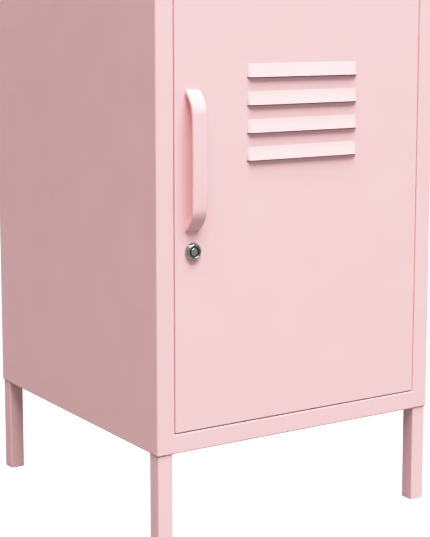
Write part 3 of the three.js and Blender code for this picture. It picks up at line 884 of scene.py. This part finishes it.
def lock_housing():
    """The lock's barrel and its sloping bezel."""
    rim = (bezel_high.x - bezel_low.x) / 2
    front, back = bezel_low.y, bezel_high.y
    seat = FACE_Y - BEZEL_GAP
    profile = [
        (BORE_R, back),
        (SHANK_R, back),
        (SHANK_R, seat),
        (rim, seat),
        *[(rim - inset * MM, front + behind * MM) for inset, behind in BEZEL_SLOPE],
        (BORE_R + BORE_EDGE, front),
        (BORE_R, front + BORE_EDGE),
        (BORE_R, back),
    ]
    loop = rounded(profile, BEZEL_ROUND)
    piece("lock_housing", turned(LOCK, loop, sides=LOCK_SIDES), CHROME, "door")


def keyway(angle):
    """The outer radius of the ring that a tubular key enters, with a notch at its top."""
    in_notch = abs(angle - math.pi / 2) < NOTCH_HALF_ANGLE
    return KEYWAY_R + (NOTCH if in_notch else 0)


def keyway_mouth(angle):
    """The keyway's radius at the plug's face, where its edge is broken."""
    return keyway(angle) + KEYWAY_EDGE


def lock_plug():
    """The turning plug: a ring keyway round a post."""
    low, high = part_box("lock_plug")
    front, back = low.y, high.y
    face = front + PLUG_SUNK
    deep = front + KEYWAY_DEEP
    steps = [
        (PLUG_R, back),
        (PLUG_R, face + PLUG_EDGE),
        (PLUG_R - PLUG_EDGE, face),
        (keyway_mouth, face),
        (keyway, face + KEYWAY_EDGE),
        (keyway, deep),
        (POST_R, deep),
        (POST_R, front + POST_EDGE),
        (POST_R - POST_EDGE, front),
    ]
    rings = [upright(circle(LOCK, size, LOCK_SIDES), y) for size, y in steps]
    piece("lock_plug", loft(rings, caps=True), CHROME, "lock")


def lock_nut():
    """The flat hexagon nut that holds the lock in the door."""
    low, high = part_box("lock_nut")
    size = max(high.z - low.z, high.x - low.x) / 2
    steps = [
        (NUT_BORE_R, low.y),
        (size * NUT_FACE, low.y),
        (hexagon(size), low.y + NUT_EDGE),
        (hexagon(size), high.y - NUT_EDGE),
        (size * NUT_FACE, high.y),
        (NUT_BORE_R, high.y),
    ]
    rings = [upright(circle(LOCK, r), y) for r, y in steps]
    piece("lock_nut", loft(rings, closed=True), ZINC, "door")


def cam_outline(half, tip, inset):
    """The cam's outline, that far in from its edge: round above, round-cornered at its tip."""
    r = CAM_TIP_R - inset
    points = arc(LOCK, half - inset, 0, 180, steps=16)
    points += arc((LOCK[0] - half + CAM_TIP_R, tip + CAM_TIP_R), r, 180, 270, steps=6)
    points += arc((LOCK[0] + half - CAM_TIP_R, tip + CAM_TIP_R), r, 270, 360, steps=6)
    return points


def lock_cam():
    """A flat steel tongue, hanging down while the lock is open."""
    low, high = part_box("lock_cam")
    half = (high.x - low.x) / 2
    steps = [(CAM_EDGE, low.y), (0, low.y + CAM_EDGE), (0, high.y - CAM_EDGE), (CAM_EDGE, high.y)]
    rings = [upright(cam_outline(half, low.z, inset), y) for inset, y in steps]
    piece("lock_cam", loft(rings, caps=True), ZINC, "lock")


lock_housing()
lock_plug()
lock_nut()
lock_cam()


# ---- Stage: floor, light and camera ----------------------------------------------------------
CAMERA_AZIMUTH = -32.83  # degrees
CAMERA_ELEVATION = 7.7
CAMERA_DISTANCE = 1.534
AIM = Vector((-0.1165, FACE_Y, 0.3801))
MIDDLE = Vector((0, 0, 0.4))  # where the lamp points
FILL = 0.455  # the surroundings, as they light the cabinet
BACKDROP = 2.2  # the surroundings, as they are seen
FLOOR_GLOW = 2.0
FLOOR_SHADE = 0.1  # how much of the floor's own shading is seen
FLOOR_PATCH = 0.4  # size of the faint cloudiness in it
FLOOR_HALF = 30.0
WHITE = 2.0  # the scene's brightness that shows as white
SHOULDER = [(0.3, 0.3), (0.66, 0.655), (1.07, 0.9), (1.5, 0.985)]
ALL_CHANNELS = 3  # the view's curve for red, green and blue together


def direction(azimuth, elevation):
    """Towards a place round the object, in degrees: azimuth 0 is in front of the door."""
    turn, lift = math.radians(azimuth), math.radians(elevation)
    flat = math.cos(lift)
    return Vector((math.sin(turn) * flat, -math.cos(turn) * flat, math.sin(lift)))


def look(obj, target, away, distance):
    """Puts an object away from its target, looking at it."""
    obj.location = target + away * distance
    obj.rotation_mode = "QUATERNION"
    obj.rotation_quaternion = (-away).to_track_quat("-Z", "Y")
    bpy.context.scene.collection.objects.link(obj)


def camera():
    """The view from the front left, a little above the middle."""
    data = bpy.data.cameras.new("camera")
    data.lens = 95.26
    data.sensor_width = 36
    data.shift_y = -0.11
    data.clip_end = 50
    obj = bpy.data.objects.new("camera", data)
    look(obj, AIM, direction(CAMERA_AZIMUTH, CAMERA_ELEVATION), CAMERA_DISTANCE)
    bpy.context.scene.camera = obj


def lamp(name, azimuth, elevation, distance, size, power):
    """A rectangular soft box aimed at the middle of the cabinet; size is its width and height."""
    data = bpy.data.lights.new(name, "AREA")
    data.shape = "RECTANGLE"
    data.size, data.size_y = size
    data.energy = power
    look(bpy.data.objects.new(name, data), MIDDLE, direction(azimuth, elevation), distance)


def studio():
    """White surroundings: what lights the cabinet is weaker than what stands behind it."""
    world = bpy.data.worlds.new("white studio")
    bpy.context.scene.world = world
    world.use_nodes = True
    tree = world.node_tree
    tree.nodes.clear()
    seen = add_node(tree, "ShaderNodeLightPath")
    fill = add_node(tree, "ShaderNodeBackground", Color=linear("#ffffff"), Strength=FILL)
    white = add_node(tree, "ShaderNodeBackground", Color=linear("#ffffff"), Strength=BACKDROP)
    choice = {"Fac": (seen, "Is Camera Ray"), "i1": (fill, 0), "i2": (white, 0)}
    mix = add_node(tree, "ShaderNodeMixShader", **choice)
    add_node(tree, "ShaderNodeOutputWorld", Surface=(mix, 0))


def floor():
    """A table top that is seen pale and evenly lit, and that throws little light back up."""
    material, tree, shader, place = new_material("white table top")
    tone = mottled(tree, place, FLOOR_PATCH, 2.0, "#747474", "#7c7c7c", (0, 1))[1]
    tree.links.new(tone, shader.inputs["Base Color"])
    shader.inputs["Roughness"].default_value = 0.9
    shader.inputs["Specular IOR Level"].default_value = 0.0
    glow = add_node(tree, "ShaderNodeEmission", Color=linear("#ffffff"), Strength=FLOOR_GLOW)
    blend = {"Fac": FLOOR_SHADE, "i1": (glow, 0), "i2": (shader, 0)}
    shown = add_node(tree, "ShaderNodeMixShader", **blend)
    seen = add_node(tree, "ShaderNodeLightPath")
    choice = {"Fac": (seen, "Is Camera Ray"), "i1": (shader, 0), "i2": (shown, 0)}
    mix = add_node(tree, "ShaderNodeMixShader", **choice)
    tree.links.new(mix.outputs[0], tree.nodes["Material Output"].inputs["Surface"])
    corners = [(-FLOOR_HALF, -FLOOR_HALF, 0), (FLOOR_HALF, -FLOOR_HALF, 0)]
    corners += [(FLOOR_HALF, FLOOR_HALF, 0), (-FLOOR_HALF, FLOOR_HALF, 0)]
    shell = (corners, [(0, 1, 2, 3)])
    mesh_object("floor", shell, material)


def soft_highlights():
    """The camera's response: straight up to the middle tones, then a soft shoulder into white."""
    view = bpy.context.scene.view_settings
    view.view_transform = "Standard"
    view.use_curve_mapping = True
    mapping = view.curve_mapping
    mapping.white_level = (WHITE, WHITE, WHITE)
    line = mapping.curves[ALL_CHANNELS]
    for place, value in SHOULDER:
        line.points.new(place / WHITE, value)
    mapping.update()


studio()
floor()
lamp("key", azimuth=-5, elevation=67, distance=9.0, size=(7.5, 5.7), power=2060)
camera()
soft_highlights()
